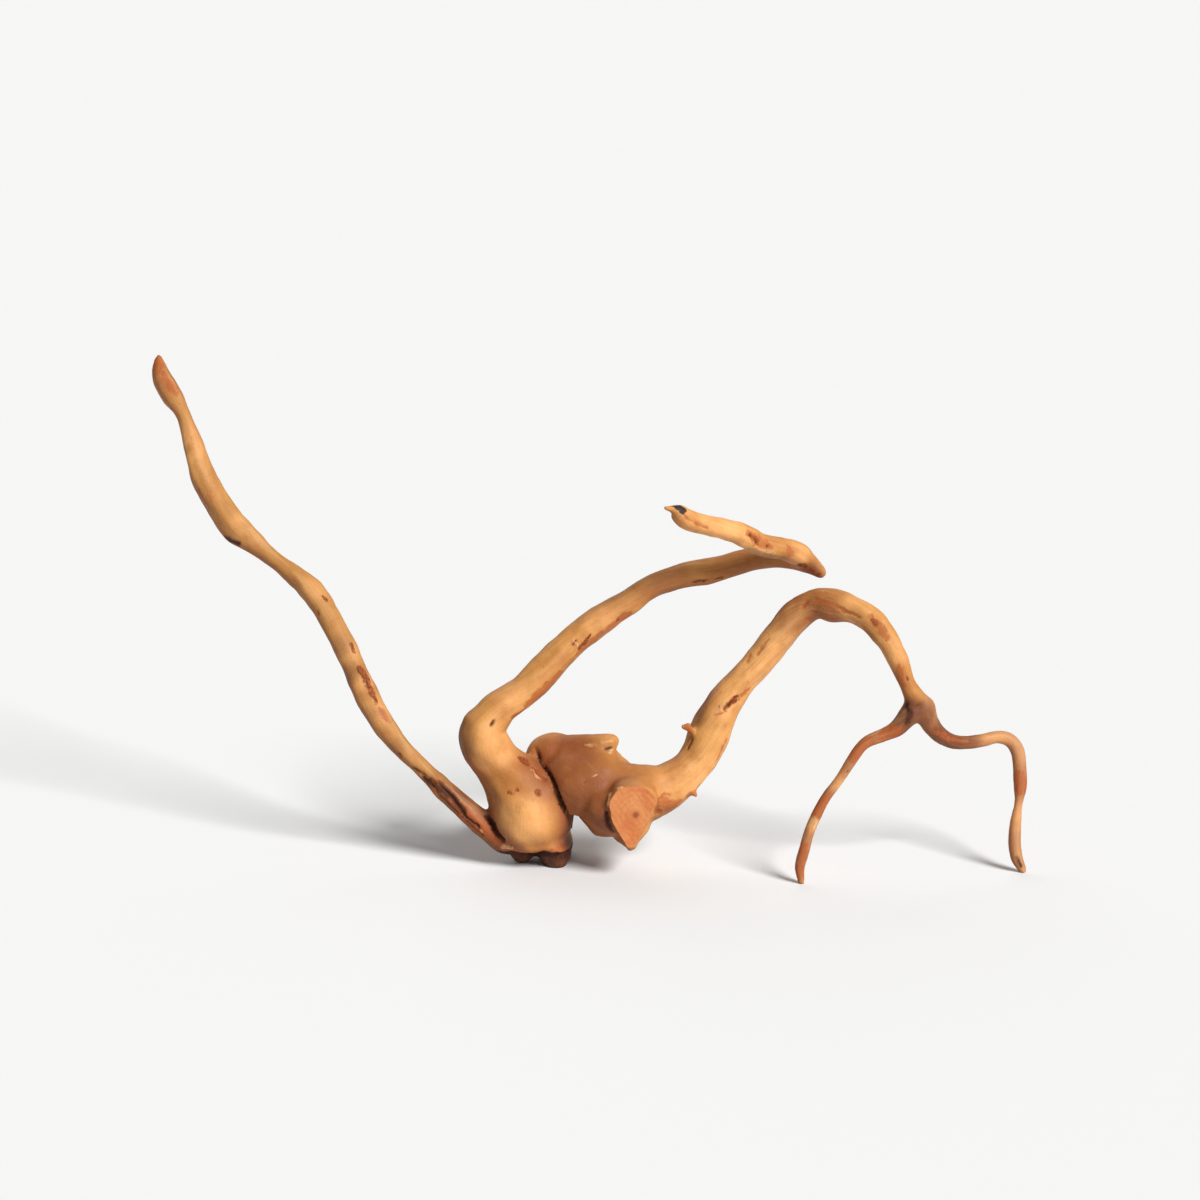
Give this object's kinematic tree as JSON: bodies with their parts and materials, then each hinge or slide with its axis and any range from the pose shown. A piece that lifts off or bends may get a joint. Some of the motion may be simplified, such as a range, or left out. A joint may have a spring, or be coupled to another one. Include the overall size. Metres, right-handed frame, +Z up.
{
  "type": "piece of driftwood",
  "caption": "Dry peeled driftwood root: a low burl with a sawn stub, one long whip, a crooked limb that turns back on itself and an arched limb that ends in two thin legs.",
  "frame": {"origin": "on the ground, under the middle of the piece's bounding box", "axes": "+X towards the two thin legs, along the longest extent; +Y to the back, the way the whip leans; +Z up"},
  "size_m": [0.4469, 0.1079, 0.2531],
  "materials": {
    "root_wood": "dry peeled root, matt, sandy orange with brown bark remains"
  },
  "bodies": {
    "root": {"driftwood_root": "root_wood"}
  },
  "joints": []
}
